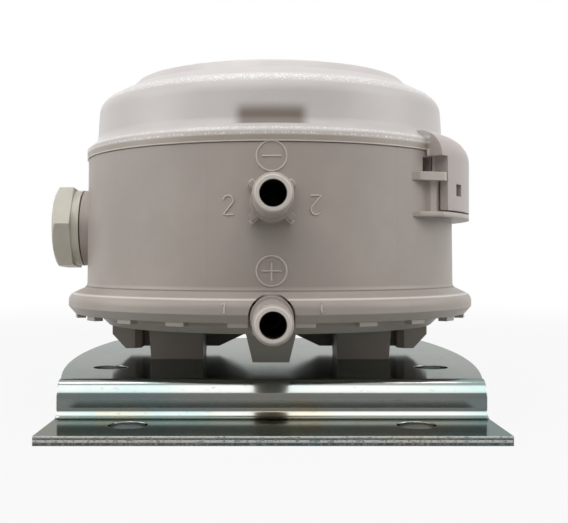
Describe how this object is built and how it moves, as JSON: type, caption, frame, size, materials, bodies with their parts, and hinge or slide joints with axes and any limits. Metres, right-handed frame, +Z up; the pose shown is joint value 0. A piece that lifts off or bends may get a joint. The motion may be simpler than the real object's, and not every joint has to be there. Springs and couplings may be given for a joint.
{
  "type": "differential pressure switch",
  "caption": "Round differential pressure switch for air with a stepped lift-off cover, hose nipples, cable gland and a folded Z-shaped mounting bracket.",
  "frame": {"origin": "midway between the two fixing holes of the bracket's foot, on the underside of the foot", "axes": "+Z up along the housing's axis towards the cover, -Y the way the hose nipples point, -X the side of the cable gland"},
  "size_m": [0.0881, 0.1036, 0.066],
  "materials": {
    "housing_plastic": "fine moulded satin, warm grey",
    "cover_plastic": "milky, slightly translucent, smooth",
    "zinc_steel": "bright zinc plated",
    "gland_plastic": "light grey moulded",
    "seal_rubber": "black rubber",
    "diaphragm_rubber": "red-brown silicone",
    "inner_plastic": "off-white moulded",
    "knob_plastic": "white moulded with printed dial",
    "switch_plastic": "black moulded",
    "spring_steel": "drawn wire and spring strip",
    "tab_brass": "stamped strip"
  },
  "bodies": {
    "housing": {"bracket": "zinc_steel", "bracket_screws": "zinc_steel", "lower_housing": "housing_plastic", "upper_housing": "housing_plastic", "gland_washer": "gland_plastic", "gland_seal": "seal_rubber", "diaphragm": "diaphragm_rubber", "range_spring": "spring_steel", "switch_case": "switch_plastic", "spade_tab_1": "tab_brass", "spade_tab_2": "tab_brass", "spade_tab_3": "tab_brass", "switch_screws": "zinc_steel", "lever_pin": "spring_steel"},
    "cover": {"cover": "cover_plastic"},
    "gland_nut": {"gland_nut": "gland_plastic"},
    "setting_knob": {"setting_knob": "knob_plastic"},
    "setting_nut": {"setting_nut": "inner_plastic"},
    "diaphragm_plate": {"diaphragm_plate": "inner_plastic"},
    "switch_lever": {"switch_lever": "spring_steel"},
    "switch_plunger": {"switch_plunger": "knob_plastic"}
  },
  "joints": [
    {"name": "cover_lift", "type": "slide", "parent": "housing", "child": "cover", "axis": [0, 0, 1], "range_m": [0, 0.03]},
    {"name": "gland_nut_turn", "type": "hinge", "parent": "housing", "child": "gland_nut", "pos_m": [-0.0425, 0.0506, 0.0351], "axis": [-1, 0, 0], "continuous": true},
    {"name": "setting_turn", "type": "hinge", "parent": "housing", "child": "setting_knob", "pos_m": [0, 0.0506, 0.05], "axis": [0, 0, -1], "range_deg": [0, 270]},
    {"name": "setting_nut_slide", "type": "slide", "parent": "housing", "child": "setting_nut", "axis": [0, 0, -1], "range_m": [0, 0.00115]},
    {"name": "diaphragm_stroke", "type": "slide", "parent": "housing", "child": "diaphragm_plate", "axis": [0, 0, 1], "range_m": [0, 0.0008], "stiffness_N_per_m": 300, "deforming": ["range_spring", "diaphragm"]},
    {"name": "lever_swing", "type": "hinge", "parent": "housing", "child": "switch_lever", "pos_m": [0, 0.0184, 0.04205], "axis": [1, 0, 0], "range_deg": [0, 4]},
    {"name": "plunger_slide", "type": "slide", "parent": "housing", "child": "switch_plunger", "axis": [0, 0, 1], "range_m": [0, 0.0006]}
  ],
  "couplings": [
    {"joint": "setting_nut_slide", "follows": "setting_turn", "m_per_rad": 0.00023873},
    {"joint": "lever_swing", "follows": "diaphragm_stroke", "rad_per_m": 81.967},
    {"joint": "plunger_slide", "follows": "diaphragm_stroke", "ratio": 0.67213}
  ]
}
